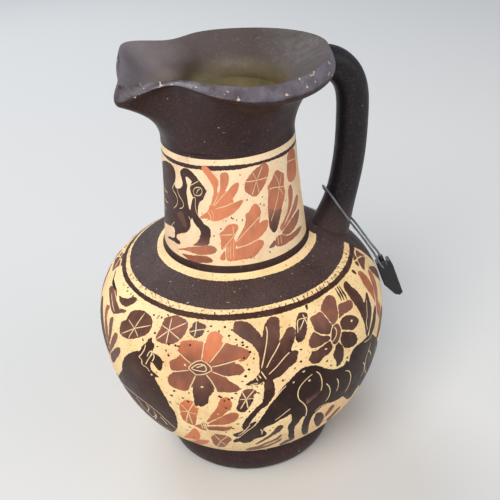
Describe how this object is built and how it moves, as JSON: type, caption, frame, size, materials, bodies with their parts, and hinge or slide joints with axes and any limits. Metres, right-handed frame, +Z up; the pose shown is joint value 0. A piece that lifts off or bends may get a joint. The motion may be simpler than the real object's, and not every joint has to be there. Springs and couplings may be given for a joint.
{
  "type": "oinochoe jug",
  "caption": "Ceramic wine jug with a round belly, pinched spouted mouth, rod handle and painted animal frieze, with a plastic seal hanging from the handle on a cord loop.",
  "frame": {"origin": "on the wheel axis at the plane that the foot rests on", "axes": "+Z up along the wheel axis, the handle at +X, the spout towards -X"},
  "size_m": [0.1693, 0.156, 0.226],
  "materials": {
    "painted_clay": "satin cream clay with black, brown and red slip figures and incised lines",
    "black_slip": "semi-gloss warm black slip",
    "cord_plastic": "smooth grey plastic cord",
    "seal_plastic": "moulded black plastic"
  },
  "bodies": {
    "jug": {"foot": "black_slip", "body": "painted_clay", "neck": "painted_clay", "handle": "black_slip"},
    "tag": {"seal_cord": "cord_plastic", "seal_body": "seal_plastic", "seal_plug": "seal_plastic"}
  },
  "joints": [
    {"name": "seal_lift", "type": "hinge", "parent": "jug", "child": "tag", "pos_m": [0.051, 0, 0.1449], "axis": [0, -1, 0], "range_deg": [0, 75]}
  ]
}
